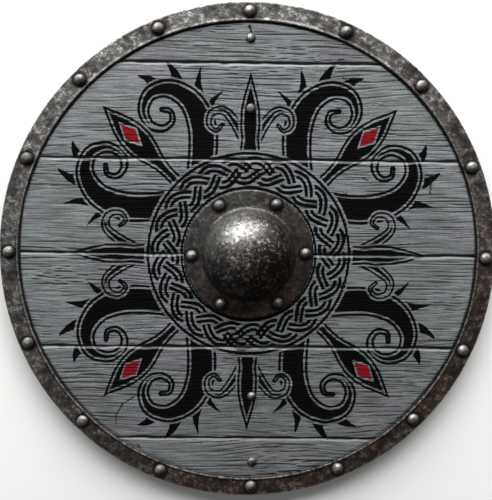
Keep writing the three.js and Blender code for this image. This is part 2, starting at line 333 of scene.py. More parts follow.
class Ornament:
    """A plaited ring round the boss, and four arms of scrolls, flames and leaves."""

    BOSS_CLEAR = 80.0
    REACH = 256.0
    ARM_START = 60.0
    ARM_HALF_WIDTH = 135.0
    TONGUE_HALF_WIDTH = 62.0
    PLAIT_WAVES = 8
    PLAIT_STRANDS = 3
    PLAIT_SWING = 12.5
    BORDER = 2.0

    # Each stroke: its path, its half widths, and how far from its edge a bare line runs.
    SCROLL = (
        smooth_path(
            [(110, 22), (128, 47), (152, 69), (182, 80), (210, 73), (223, 52), (215, 32)]
            + [(197, 25), (183, 33), (181, 47), (191, 54), (200, 48)]
        ),
        (16, 18, 18.5, 18, 16, 13.5, 11, 8.8, 7, 5.4, 4.2, 3.4),
        4.4,
    )
    LEAF = (
        smooth_path([(116, 0), (183, 0), (254, 0)]),
        (9, 8, 7.8, 9, 12, 16, 18.5, 18, 15, 10, 5, 0),
        4.0,
    )
    TENDRIL = (
        smooth_path(
            [(120, 0), (141, 7), (160, 18), (175, 32), (172, 47), (158, 50), (151, 41), (158, 34)]
        ),
        (8, 8, 7.8, 7, 6.2, 5.2, 4, 3.2, 2.8),
        3.6,
    )
    SPIKE = (
        smooth_path([(110, 0), (160, 0), (222, 0)]),
        (14, 12.5, 11, 12.5, 12, 9, 4.5, 0),
        3.8,
    )
    FLAMES = (
        ((126, 52), (137, 79), (131, 106)),
        ((146, 70), (163, 94), (164, 120)),
        ((172, 84), (191, 101), (204, 119)),
        ((202, 80), (221, 90), (243, 93)),
        ((221, 62), (237, 62), (252, 54)),
    )
    FLAME_WIDTHS = (9, 7, 4.5, 2.2, 0)
    LOZENGE = (205, 8.5, 1.9)  # place on the arm, half width, and length over width

    def __init__(self, sizes):
        self.ring_radius = sizes.ring_radius / MM
        self.ring_half = sizes.ring_width / MM / 2
        self.strand = sizes.strand_width / MM / 2
        self.line = sizes.line_width / MM / 2
        self.gap = sizes.gap_width / MM

    def laid_over(self, paint, edge, bare=-FAR):
        """A shape laid over what is painted already, with a bare gap round it."""
        cleared = np.maximum(paint, self.gap - edge)
        return np.minimum(cleared, np.maximum(edge, bare))

    def lined(self, paint, a, side, path, widths, inset, kept_bare=-FAR):
        """A stroke laid over the paint, with a bare line inside it along its edge."""
        edge = stroke(a, side, path, widths)
        line = self.line - np.abs(edge + inset)
        return self.laid_over(paint, edge, np.maximum(line, kept_bare))

    def plait(self, x, y):
        """The strands of the plait, which pass over and under each other."""
        r, angle = np.hypot(x, y), np.arctan2(y, x)
        strands = []
        for i in range(self.PLAIT_STRANDS):
            phase = self.PLAIT_WAVES * angle + 2 * math.pi * i / self.PLAIT_STRANDS
            slope = self.PLAIT_SWING * self.PLAIT_WAVES * np.cos(phase) / r
            off = np.abs(r - self.ring_radius - self.PLAIT_SWING * np.sin(phase))
            strands.append((off / np.sqrt(1 + slope**2), np.sin(2 * phase)))
        distances = np.array([distance for distance, _ in strands])
        order = np.argsort(np.array([height for _, height in strands]), axis=0)
        paint = np.full(x.shape, FAR)
        for middle in np.take_along_axis(distances, order, axis=0):
            paint = self.laid_over(paint, middle - self.strand, self.line - middle)
        return paint

    def arm(self, a, b, paint):
        """One arm along the first axis, the same on both sides of it."""
        side = np.abs(b)
        for flame in self.FLAMES:
            edge = stroke(a, side, smooth_path(flame), self.FLAME_WIDTHS)
            paint = np.minimum(paint, edge)
        paint = self.lined(paint, a, side, *self.SCROLL)
        place, half, stretch = self.LOZENGE
        lozenge = np.abs(a - place) / stretch + side - half
        return self.lined(paint, a, side, *self.LEAF, self.gap - lozenge), lozenge

    def tongue(self, a, b, paint):
        """A spike between two tendrils, between two arms."""
        for shape in (self.TENDRIL, self.SPIKE):
            paint = self.lined(paint, a, np.abs(b), *shape)
        return paint

    def drawn(self, x, y):
        """Edge distances of the black and of the red paint."""
        black, red = np.full(x.shape, FAR), np.full(x.shape, FAR)
        r = np.hypot(x, y)
        painted = (r < self.REACH) & (r > self.BOSS_CLEAR)
        for degrees in (45, 135, 225, 315):
            a, b = turned_by(x, y, degrees)
            near = painted & (a > self.ARM_START) & (np.abs(b) < self.ARM_HALF_WIDTH)
            black[near], red[near] = self.arm(a[near], b[near], black[near])
        for degrees in (0, 90, 180, 270):
            a, b = turned_by(x, y, degrees)
            near = painted & (a > self.ARM_START) & (np.abs(b) < self.TONGUE_HALF_WIDTH)
            black[near] = self.tongue(a[near], b[near], black[near])
        ring = np.abs(r - self.ring_radius) - self.ring_half
        black = np.maximum(black, self.gap - ring)
        inside = ring < 0
        border = np.abs(ring[inside] + self.BORDER) - self.BORDER
        plait = self.plait(x[inside], y[inside])
        black[inside] = np.minimum(plait, border)
        black[r < self.BOSS_CLEAR] = FAR
        return black, red


# ---- Mesh helpers ----


def linked(name, mesh):
    """A new object for a mesh, at the origin."""
    piece = bpy.data.objects.new(name, mesh)
    bpy.context.scene.collection.objects.link(piece)
    return piece


def placed(piece, slot, *nodes):
    """Puts a finished piece on what it rides on and hides the solids it stands for; the slot it
    is given is not used.
    """
    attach(piece, BODY)
    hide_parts(*nodes)


def mesh_from(name, points, faces, materials=()):
    """A mesh from points in millimetres."""
    mesh = bpy.data.meshes.new(name)
    mesh.from_pydata((np.asarray(points) * MM).tolist(), [], faces)
    for material in materials:
        mesh.materials.append(material)
    return mesh


def store(mesh, name, values):
    """One number for each vertex, for the mesh's material or nodes to read."""
    attribute = mesh.attributes.new(name, "FLOAT", "POINT")
    attribute.data.foreach_set("value", np.asarray(values, np.float32).ravel())


def applied(piece, modifier):
    """Keeps what a modifier makes as the piece's own mesh, and takes the modifier away."""
    graph = bpy.context.evaluated_depsgraph_get()
    settings = {"preserve_all_data_layers": True, "depsgraph": graph}
    mesh = bpy.data.meshes.new_from_object(piece.evaluated_get(graph), **settings)
    piece.modifiers.remove(modifier)
    piece.data = mesh


def quads(grid):
    """The four-cornered faces between the rows and columns of a grid of vertex numbers."""
    loops = (grid[:-1, :-1], grid[:-1, 1:], grid[1:, 1:], grid[1:, :-1])
    return np.stack(loops, -1).reshape(-1, 4)


# ---- Planks ----

FACE_MARGIN = 0.03  # the highest wood stays this far under the solid's face
EDGE_MARGIN = 0.3
POLE_MARGIN = 0.8  # an outer plank ends this far short of the disc's edge
BACK_STEP = 6  # rows of the front to one row of the back
HOLE_COLUMNS = 36
SMOOTH_ANGLE = 55.0  # in degrees; faces that meet at more than this show an edge
SHADED_SIDE = (0.55, -0.83, 0.0)  # towards the side that is painted darker as shade, away from the light
RIM_LINE_WIDTH = 2.6  # of the crevice along the rim, cut in and painted dark as the rim's shadow
RIM_LINE_DEPTH = 1.2

SCRATCH_REACH = 40.0  # from its start, a scratch is worked out this far

# Old scratches and nicks: start, end, half width and depth.
SCRATCHES = (
    ((216, 100), (230, 99), 1.3, 1.3),
    ((223, 100), (222, 75), 1.7, 1.4),
    ((-141, -180), (-155, -189), 1.3, 1.0),
    ((-155, -189), (-163, -203), 1.4, 1.1),
    ((-163, -203), (-163, -218), 1.3, 0.9),
    ((106, 237), (113, 239), 1.3, 1.2),
    ((112, 216), (119, 213), 1.4, 1.0),
    ((139, 95), (146, 92), 1.4, 1.2),
    ((118, 76), (121, 64), 1.1, 0.9),
    ((-2.5, 276), (0.5, 267), 1.8, 1.6),
    ((-137, -240), (-132, -246), 1.2, 1.0),
    ((36, -243), (47, -240), 1.2, 0.9),
)


def scratch_depth(x, y):
    """How deep the old scratches are at some points."""
    depth = np.zeros(x.shape)
    for start, end, half, deep in SCRATCHES:
        near = np.maximum(np.abs(x - start[0]), np.abs(y - start[1])) < SCRATCH_REACH
        path = np.array([start, end], float)
        edge = stroke(x[near], y[near], path, (half, half * 0.5))
        depth[near] = np.maximum(depth[near], deep * rising(-edge, -0.8, half))
    return depth


class PlankShape:
    """The points of one plank: a front grid with the grain in it and a plainer back grid."""

    def __init__(self, node, wood, seed):
        low, high = corners(node)
        self.reach = PLANK_HIGH[0] - EDGE_MARGIN
        pole = self.reach - POLE_MARGIN
        self.low, self.high = max(low[1], -pole), min(high[1], pole)
        self.low_seam, self.high_seam = self.low > -pole, self.high < pole
        self.wood = wood
        self.lay_out()
        self.carve(seed)

    def half_length(self, y):
        """Half the length of the disc at a height on it."""
        return np.sqrt(self.reach**2 - y**2)

    def side_at(self, across, side, towards):
        """A long side, straight or round the hand hole, at each column's share of the length."""
        y = np.full(across.shape, side)
        if abs(side) < HAND_HOLE_RADIUS:
            for _ in range(4):
                x = self.half_length(y) * across
                hole = np.sqrt(np.maximum(HAND_HOLE_RADIUS**2 - x**2, 0))
                y = towards * np.maximum(abs(side), hole)
        return y

    def lay_out(self):
        """Spreads rows and columns over the plank."""
        nearest = min(abs(self.low), abs(self.high))
        widest = float(self.half_length(nearest))
        hole = HAND_HOLE_RADIUS if nearest < HAND_HOLE_RADIUS else 0.0
        step = self.wood.column_step / MM
        outer = np.linspace(hole, widest, round((widest - hole) / step) + 1)
        x = np.concatenate([-outer[::-1], outer[1:]])
        if hole:
            inner = hole * np.sin(np.linspace(-math.pi / 2, math.pi / 2, HOLE_COLUMNS + 1))
            x = np.concatenate([-outer[::-1], inner[1:-1], outer])
        across = x / widest
        y_low = self.side_at(across, self.low, 1)
        y_high = self.side_at(across, self.high, -1)
        spans = (self.high - self.low) / (self.wood.row_step / MM) / BACK_STEP
        rows = np.linspace(0, 1, round(spans) * BACK_STEP + 1)[:, None]
        self.y = y_low + rows * (y_high - y_low)
        self.x = self.half_length(self.y) * across
        self.share_along = np.broadcast_to((across + 1) / 2, self.x.shape)
        self.share_up = np.broadcast_to(rows, self.x.shape)

    def carve(self, seed):
        """Cuts grain, cracks, scratches and seam bevels into the front."""
        wood = self.wood
        size = (2 * self.reach, self.high - self.low)
        pitch = wood.groove_pitch / MM
        grain = Grain(seed, size, self.x + self.reach, self.y - self.low, pitch)
        uneven = 0.45 * grain.along_edge + 0.25 * grain.hair

        def bevel(inwards):
            return np.clip(1 - (inwards + uneven) / (wood.seam_width / MM), 0, 1)

        low_bevel = bevel(self.y - self.low) * self.low_seam
        high_bevel = bevel(self.high - self.y) * self.high_seam
        scratch = scratch_depth(self.x, self.y)
        under_rim = self.rim_line(grain)
        depth = wood.groove_depth / MM * grain.groove
        depth = depth + 0.1 * (grain.hair + 2) + 0.16 * (grain.broad + 2).clip(0)
        depth = np.maximum(depth, wood.crack_depth / MM * grain.crack)
        depth = np.maximum(depth, scratch) + RIM_LINE_DEPTH * under_rim
        seam = wood.seam_depth / MM * np.maximum(low_bevel, high_bevel)
        depth = np.maximum(depth, seam) + 0.35 * np.minimum(depth, seam)
        self.z = PLANK_FRONT - FACE_MARGIN - depth.clip(0)
        groove = grain.groove + grain.crack + 0.8 * rising(scratch, 0.2, 0.9)
        self.groove = np.clip(groove + 0.15 * grain.hair, 0, 1)
        # Pale rubbed wood on the seam bevels, partly real wear and partly a painted highlight:
        # strongest on each plank's upper bevel, which faces the light
        self.worn = rising(high_bevel, 0.02, 0.35) + 0.45 * rising(low_bevel, 0.02, 0.5)
        # Painted shade along the seams: all of each plank's lower bevel, which faces away from
        # the light, and the bottom of its upper bevel
        crevice = np.maximum(rising(low_bevel, 0.08, 0.45), rising(high_bevel, 0.8, 1.0))
        # The same painted seam shade, carried to the back
        self.back_dark = crevice[::BACK_STEP]
        # Where the front is painted dark: the seam shade, the rim's painted shadow, and the
        # scratches
        marks = np.maximum(under_rim, 0.8 * rising(scratch, 0.3, 0.9))
        self.dark = np.maximum(crevice, marks)
        self.back_z = PLANK_BACK + 0.22 * grain.groove[::BACK_STEP]

    def rim_line(self, grain):
        """The crevice where the wood meets the rim, cut in and painted dark as the rim's shadow,
        which is faint at the bottom.
        """
        inner = RIM_HIGH[0] - RIM_BAND
        r = np.hypot(self.x, self.y) + 0.35 * grain.along_edge
        start, end = inner - 1.2 * RIM_LINE_WIDTH, inner - 0.7 * RIM_LINE_WIDTH
        return rising(r, start, end) * (0.3 + 0.7 * rising(self.y, -260, -150))


def plank_faces(front, back):
    """Faces of a closed plank, and for each corner which part of the plank it is on."""
    whole = [
        ("front", quads(front)),
        ("back", quads(back)[:, ::-1]),
        ("low", quads(np.stack([back[0], front[0]]))),
        ("high", quads(np.stack([back[-1], front[-1]]))[:, ::-1]),
    ]
    faces = [face for _, group in whole for face in group.tolist()]
    parts = [(name, 4 * len(group)) for name, group in whole]
    for name, column, order in (("left", 0, 1), ("right", -1, -1)):
        corners_here = 0
        for j in range(len(back) - 1):
            edge = front[j * BACK_STEP : (j + 1) * BACK_STEP + 1, column].tolist()
            face = [int(back[j, column]), *edge, int(back[j + 1, column])]
            faces.append(face[::order])
            corners_here += len(face)
        parts.append((name, corners_here))
    return faces, parts, len(whole[0][1])


# Where each part of a plank lies on its bake map: corner, and size along and up.
MAP_PARTS = {
    "front": (0.0, 0.37, 1.0, 0.63),
    "back": (0.0, 0.01, 1.0, 0.30),
    "low": (0.0, 0.320, 1.0, 0.010),
    "high": (0.0, 0.336, 1.0, 0.010),
    "left": (0.02, 0.352, 0.45, 0.010),
    "right": (0.52, 0.352, 0.45, 0.010),
}


def map_plank(mesh, parts, along, up, outwards):
    """Lays the plank out on its bake map: the front takes most of it, edges a strip each."""
    corner_vertex = np.empty(len(mesh.loops), np.int32)
    mesh.loops.foreach_get("vertex_index", corner_vertex)
    place = np.empty((len(corner_vertex), 2), np.float32)
    start = 0
    for name, count in parts:
        x, y, wide, tall = MAP_PARTS[name]
        vertex = corner_vertex[start : start + count]
        first, second = along[vertex], up[vertex]
        if name in ("low", "high"):
            second = outwards[vertex]
        if name in ("left", "right"):
            first, second = up[vertex], outwards[vertex]
        place[start : start + count, 0] = x + wide * first
        place[start : start + count, 1] = y + tall * second
        start += count
    layer = mesh.uv_layers.new(name="OFBake")
    layer.data.foreach_set("uv", place.ravel())


def plank(node, wood, ornament, seed, materials):
    """One plank, carved and ready for its paint."""
    shape = PlankShape(node, wood, seed)
    front = np.arange(shape.x.size).reshape(shape.x.shape)
    back = front[::BACK_STEP]
    back = np.arange(back.size).reshape(back.shape) + front.size
    back_points = (shape.x[::BACK_STEP], shape.y[::BACK_STEP], shape.back_z)
    grids = (shape.x, shape.y, shape.z), back_points
    points = np.concatenate([np.stack(grid, -1).reshape(-1, 3) for grid in grids])
    faces, parts, fronts = plank_faces(front, back)
    mesh = mesh_from(node, points, faces, materials)
    sides = np.ones(len(faces), np.int32)
    sides[:fronts] = 0
    mesh.polygons.foreach_set("material_index", sides)

    def both(values):
        return np.concatenate([values.ravel(), values[::BACK_STEP].ravel()])

    outwards = np.concatenate([np.ones(front.size), np.zeros(back.size)])
    map_plank(mesh, parts, both(shape.share_along), both(shape.share_up), outwards)
    black, red = ornament.drawn(shape.x, shape.y)
    stored_values = {
        "groove": shape.groove,
        "worn": shape.worn,
        # Painted shade: darker towards the bottom and a little towards the right, less so on the
        # paler planks
        "below": 0.1 * shape.x / shape.reach - shape.y / shape.reach - PLANKS[node],
        "black": black,
        "red": red,
    }
    for name, values in stored_values.items():
        store(mesh, name, both(values))
    store(mesh, "dark", np.concatenate([shape.dark.ravel(), shape.back_dark.ravel()]))
    mesh.shade_smooth()
    mesh.set_sharp_from_angle(angle=math.radians(SMOOTH_ANGLE))
    return linked(node.replace("plank", "painted_plank"), mesh)


# ---- Nodes, for materials and for Geometry Nodes ----


class Flow:
    """One output of a node. Sums of flows and numbers add the nodes that work them out."""

    def __init__(self, tree, socket):
        self.tree, self.socket = tree, socket

    def __add__(self, other):
        return calc("ADD", self, other)

    def __sub__(self, other):
        return calc("SUBTRACT", self, other)

    def __rsub__(self, other):
        return calc("SUBTRACT", other, self)

    def __mul__(self, other):
        return calc("MULTIPLY", self, other)

    def __truediv__(self, other):
        return calc("DIVIDE", self, other)


def fill(made, sockets):
    """Gives a node's inputs their values; a flow is linked."""
    for name, value in sockets.items():
        socket = made.inputs[name]
        if isinstance(value, Flow):
            value.tree.links.new(value.socket, socket)
        else:
            socket.default_value = value


def node(tree, kind, sockets, **settings):
    """A new node with its settings and inputs."""
    made = tree.nodes.new(kind)
    for name, value in settings.items():
        setattr(made, name, value)
    fill(made, sockets)
    return made


def flow(tree, kind, sockets=None, output=0, **settings):
    """One output of a new node."""
    return Flow(tree, node(tree, kind, sockets or {}, **settings).outputs[output])


def tree_of(*parts):
    """The tree that the first flow among some values is in."""
    return next(part.tree for part in parts if isinstance(part, Flow))


def calc(operation, first, second=0.0, clamp=False):
    """The result of a sum on one or two values."""
    settings = {"operation": operation, "use_clamp": clamp}
    return flow(tree_of(first, second), "ShaderNodeMath", {0: first, 1: second}, **settings)


def vector_math(operation, sockets, output=0):
    """The result of a sum on vectors."""
    tree = tree_of(*sockets.values())
    return flow(tree, "ShaderNodeVectorMath", sockets, output, operation=operation)


def spread(value, low, high, out_low=0.0, out_high=1.0):
    """A value carried smoothly from one range to another, and held at its ends."""
    sockets = {0: value, 1: low, 2: high, 3: out_low, 4: out_high}
    return flow(value.tree, "ShaderNodeMapRange", sockets, interpolation_type="SMOOTHSTEP")


def blend(share, first, second, mode="MIX"):
    """Two colours mixed by a share."""
    sockets = {0: share, 6: first, 7: second}
    settings = {"data_type": "RGBA", "blend_type": mode}
    return flow(tree_of(share, first), "ShaderNodeMix", sockets, 2, **settings)


def tinted(colour_value, tint):
    """A colour multiplied by another."""
    return blend(1.0, colour_value, tint, "MULTIPLY")


def stretched(vector, scale):
    """Coordinates scaled along each axis."""
    return flow(vector.tree, "ShaderNodeMapping", {"Vector": vector, "Scale": scale})


def noise(vector, scale, detail=3.0, roughness=0.55, distortion=0.0):
    """A cloud noise from 0 to 1."""
    names = ("Vector", "Scale", "Detail", "Roughness", "Distortion")
    sockets = dict(zip(names, (vector, scale, detail, roughness, distortion)))
    return flow(vector.tree, "ShaderNodeTexNoise", sockets)


def attribute(tree, name):
    """A number stored on the mesh, for a material."""
    return flow(tree, "ShaderNodeAttribute", output="Fac", attribute_name=name)


def group_tree(name, kind, inputs, outputs):
    """An empty node group, its inputs as flows by name, and its output node."""
    tree = bpy.data.node_groups.new(name, kind)
    for label, socket_type, default in inputs:
        socket = tree.interface.new_socket(label, in_out="INPUT", socket_type=socket_type)
        if default is not None:
            socket.default_value = default
    for label, socket_type in outputs:
        tree.interface.new_socket(label, in_out="OUTPUT", socket_type=socket_type)
    start = flows_of(tree, tree.nodes.new("NodeGroupInput"))
    return tree, start, tree.nodes.new("NodeGroupOutput")


def flows_of(tree, made):
    """The outputs of a node by name."""
    return {socket.name: Flow(tree, socket) for socket in made.outputs}


def use_group(tree, group, sockets):
    """Places a node group in a tree and returns its outputs by name."""
    kind = "GeometryNodeGroup" if tree.bl_idname == "GeometryNodeTree" else "ShaderNodeGroup"
    return flows_of(tree, node(tree, kind, sockets, node_tree=group))


def shared(name, maker):
    """A node group, made the first time that it is asked for."""
    return bpy.data.node_groups.get(name) or maker()


# ---- Shared effects ----

FLOAT = "NodeSocketFloat"
VECTOR = "NodeSocketVector"


def effect_tree(name, inputs, outputs=("Mask",)):
    """A shader group that gives out numbers; the first of its inputs is where to look."""
    where, *others = inputs
    inputs = [(where, VECTOR, None), *((label, FLOAT, default) for label, default in others)]
    outputs = [(label, FLOAT) for label in outputs]
    _, start, end = group_tree(name, "ShaderNodeTree", inputs, outputs)
    return start[where], start, end


def wood_fibre_group():
    """Fine streaks along the grain, short fibres across them, and large uneven patches."""
    outputs = ("Streaks", "Fibres", "Patches")
    where, start, end = effect_tree("Wood Fibre", ("Along Grain", ("Streak Scale", 1.0)), outputs)
    scaled = vector_math("SCALE", {0: where, "Scale": start["Streak Scale"]})
    streaks = noise(stretched(scaled, (24, 300, 300)), 1.0, 3.0, 0.62, 0.3)
    fibres = noise(stretched(scaled, (45, 1300, 1300)), 1.0, 2.0, 0.6)
    patches = noise(stretched(where, (1, 2.2, 1)), 9.0, 3.0, 0.55)
    fill(end, {"Streaks": streaks, "Fibres": fibres, "Patches": patches})
    return end.id_data


def edge_wear_group():
    """Where handling has rubbed an edge, broken up by a noise."""
    inputs = ("Coordinates", ("Edge", 0.0), ("Grain Size", 300.0))
    where, start, end = effect_tree("Edge Wear", inputs)
    broken = noise(where, start["Grain Size"], 4.0, 0.65)
    fill(end, {"Mask": spread(start["Edge"] + (broken - 0.5), 0.3, 0.75)})
    return end.id_data


def pitting_group():
    """Old hammered steel: a cloudy tone, bright flakes in patches, and a height for the pits."""
    outputs = ("Mottle", "Flakes", "Height")
    where, start, end = effect_tree("Steel Pitting", ("Coordinates", ("Size", 260.0)), outputs)
    size = start["Size"]
    clouds = noise(where, size * 0.35, 5.0, 0.65, 0.3)
    grain = noise(where, size, 4.0, 0.7)
    fine = noise(where, size * 2.6, 3.0, 0.65)
    patches = spread(clouds, 0.40, 0.60, 0.1, 1.0)
    flakes = spread(grain, 0.49, 0.61) * patches * spread(fine, 0.35, 0.6, 0.45, 1.0)
    mottle = spread(clouds, 0.32, 0.68)
    fill(end, {"Mottle": mottle, "Flakes": flakes, "Height": grain + fine * 0.5})
    return end.id_data


def grime_group():
    """Dust and dirt that lies unevenly over a surface."""
    where, start, end = effect_tree("Grime", ("Coordinates", ("Amount", 0.5)))
    clouds = noise(where, 14.0, 5.0, 0.62, 0.5)
    spots = noise(where, 140.0, 3.0, 0.6)
    mask = spread(clouds + spots * 0.35, 0.52, 0.9)
    fill(end, {"Mask": calc("MULTIPLY", mask, start["Amount"], True)})
    return end.id_data


def shade_side_group():
    """How dark a place is painted as shade, from how far it lies towards the side turned away
    from the light.
    """
    where, start, end = effect_tree("Painted Shade Side", ("Coordinates", ("Below", 0.0)))
    clouds = noise(where, 16.0, 4.0, 0.6, 0.4) - 0.5
    fill(end, {"Mask": spread(start["Below"] + clouds * 0.9, -1.0, 1.0)})
    return end.id_data


EFFECTS = {
    "fibre": ("Wood Fibre", wood_fibre_group),
    "wear": ("Edge Wear", edge_wear_group),
    "pitting": ("Steel Pitting", pitting_group),
    "grime": ("Grime", grime_group),
    "shade_side": ("Painted Shade Side", shade_side_group),
}


# ---- Materials ----


class Surface:
    """A new material, with its tree, its shader and its Object coordinates."""

    def __init__(self, name):
        self.made = bpy.data.materials.new(name)
        self.made.use_nodes = True
        self.tree = self.made.node_tree
        self.shader = self.tree.nodes["Principled BSDF"]
        self.where = flow(self.tree, "ShaderNodeTexCoord", output="Object")

    def effect(self, name, sockets):
        """The outputs of a shared effect."""
        return use_group(self.tree, shared(*EFFECTS[name]), sockets)

    def mask(self, name, **values):
        """The mask of a shared effect, with its inputs by name."""
        sockets = {label.replace("_", " ").title(): value for label, value in values.items()}
        return self.effect(name, {"Coordinates": self.where, **sockets})["Mask"]

    def dressed(self, colour_value, height, distance, strength, sockets):
        """The material with its colour, its bumps and its other inputs set."""
        bumps = {"Height": height, "Distance": distance, "Strength": strength}
        normal = flow(self.tree, "ShaderNodeBump", bumps)
        fill(self.shader, {"Base Color": colour_value, "Normal": normal, **sockets})
        return self.made


def rgba(colour_value, share=1.0):
    """A colour with full opacity, darkened to a share of itself."""
    return (*(share * part for part in colour_value), 1.0)


# Fixed tones: tints of the wood, and what lies over the colours that a user may change.
BLUE_PATCH, GREEN_PATCH = (1.02, 0.98, 1.05, 1), (0.955, 1.02, 0.99, 1)
DARK_SPECK, PALE_SPECK = (0.84, 0.84, 0.84, 1), (1.16, 1.16, 1.16, 1)
WORN_AND_HIGHLIT_WOOD = (0.36, 0.375, 0.37, 1)
DUST_ON_PAINT = (0.09, 0.09, 0.085, 1)
# The tint of the painted shade on the wood
SHADE_TINT = (0.66, 0.65, 0.64, 1)
THIN_PAINT = (0.012, 0.0125, 0.013, 1)
# Painted shade along the seams and the rim, and the dark of the scratches
CREVICE = (0.006, 0.0055, 0.005, 1)
DUST_ON_WOOD = (0.05, 0.045, 0.04, 1)
# Painted shade along the seams at the back
BARE_CREVICE = (0.01, 0.009, 0.008, 1)
STEEL_SHADE = (0.003, 0.0026, 0.0022, 1)
# Painted shadows round the rivets, and steel darkened where the wear is below zero
RIVET_SHADOW_AND_DARKENING = (0.010, 0.009, 0.008, 1)
BACK_STAIN = (0.10, 0.09, 0.08)
BAR_STAIN = (0.09, 0.06, 0.04)


def painted_wood(wood, ornament):
    """Grey weathered wood with worn black and red paint on it, and painted shade towards the
    bottom, along the seams and along the rim.
    """
    surface = Surface("painted_wood")
    tree, where = surface.tree, surface.where
    fibres = surface.effect("fibre", {"Along Grain": where, "Streak Scale": 1.0})
    streaks = fibres["Streaks"]
    timber = blend(spread(streaks, 0.3, 0.72), rgba(wood.light, 0.5), rgba(wood.light))
    patches = spread(fibres["Patches"], 0.32, 0.68)
    timber = tinted(timber, blend(patches, BLUE_PATCH, GREEN_PATCH))
    specks = spread(noise(where, 420.0, 3.0, 0.65), 0.3, 0.7)
    timber = tinted(timber, blend(specks, DARK_SPECK, PALE_SPECK))
    deep = spread(attribute(tree, "groove"), 0.12, 0.85, 0.0, 0.97)
    timber = blend(deep, timber, rgba(wood.dark))
    # Rubbed wood, partly real wear and partly a painted highlight on the seam bevels that face
    # the light
    rubbed = surface.mask("wear", edge=attribute(tree, "worn"), grain_size=260.0)
    timber = blend(rubbed * 0.6, timber, WORN_AND_HIGHLIT_WOOD)
    timber = blend(surface.mask("grime", amount=0.3), timber, DUST_ON_PAINT)
    # Painted shade: the wood tinted darker on the side away from the light
    dull = surface.mask("shade_side", below=attribute(tree, "below"))
    timber = blend(dull, timber, tinted(timber, SHADE_TINT))

    ragged = (streaks - 0.5) * 2.4
    fine = (fibres["Fibres"] - 0.5) * 0.9
    covered = spread(attribute(tree, "black") + (ragged + fine), -0.35, 0.35, 1.0, 0.0)
    thin = spread(streaks, 0.56, 0.78) * 0.25
    paint = blend(thin, rgba(ornament.paint), THIN_PAINT)
    front = blend(calc("SUBTRACT", covered, rubbed * 0.45, True), timber, paint)
    accent = spread(attribute(tree, "red") + ragged, -0.35, 0.35, 1.0, 0.0)
    front = blend(accent, front, rgba(ornament.accent))
    # Painted shade along the seams and the rim, and darker scratches
    front = blend(attribute(tree, "dark") * 0.92, front, CREVICE)
    roughness = spread(covered, 0.0, 1.0, 0.8, 0.68)
    sockets = {"Roughness": roughness, "Specular IOR Level": 0.02}
    return surface.dressed(front, streaks + fibres["Fibres"] * 0.5, 0.0005, 0.55, sockets)


def plain_wood(name, tone, dark, along_y=False):
    """Bare wood, with its grain along X or along Y."""
    surface = Surface(name)
    if along_y:
        turn = {"Vector": surface.where, "Rotation": (0, 0, math.pi / 2)}
        surface.where = flow(surface.tree, "ShaderNodeMapping", turn)
    fibres = surface.effect("fibre", {"Along Grain": surface.where, "Streak Scale": 0.8})
    timber = blend(spread(fibres["Streaks"], 0.3, 0.7), rgba(tone, 0.45), rgba(tone))
    timber = blend(spread(fibres["Patches"], 0.3, 0.75) * 0.35, timber, rgba(dark))
    timber = blend(surface.mask("grime", amount=0.5), timber, DUST_ON_WOOD)
    # Painted shade along the seams
    seams = attribute(surface.tree, "dark") * 0.85
    timber = blend(seams, timber, BARE_CREVICE)
    height = fibres["Streaks"] + fibres["Fibres"]
    return surface.dressed(timber, height, 0.0006, 0.6, {"Roughness": 0.8})


# How each steel part has aged, and how light and shade are painted on it. Size is its mottling
# per metre; flakes and the painted highlight lie above a height, and a wall is painted dark as
# shade just above it; darker moves its painted shaded side inwards, and shade deepens that
# painted shade; pits are a depth. Heights and depths are millimetres.
LOOK_ENTRIES = "size flakes dull_flakes above polish wall shade rust rough darker pits".split()
STEEL_LOOKS = {
    "rim_steel": (180.0, 0.65, 0.7, 0.0, 0.0, 0.0, 0.0, 0.45, 0.48, 0.0, 0.8),
    "boss_steel": (225.0, 1.0, 0.68, 32.0, 0.92, 1.0, 0.9, 0.3, 0.3, 0.28, 1.5),
    "rivet_steel": (420.0, 0.5, 0.3, 0.0, 0.25, 0.0, 0.4, 0.25, 0.48, 0.15, 0.8),
}
FOOT_RISE = 6.0  # the polish sets in over this height
WALL_HEIGHT = 26.0


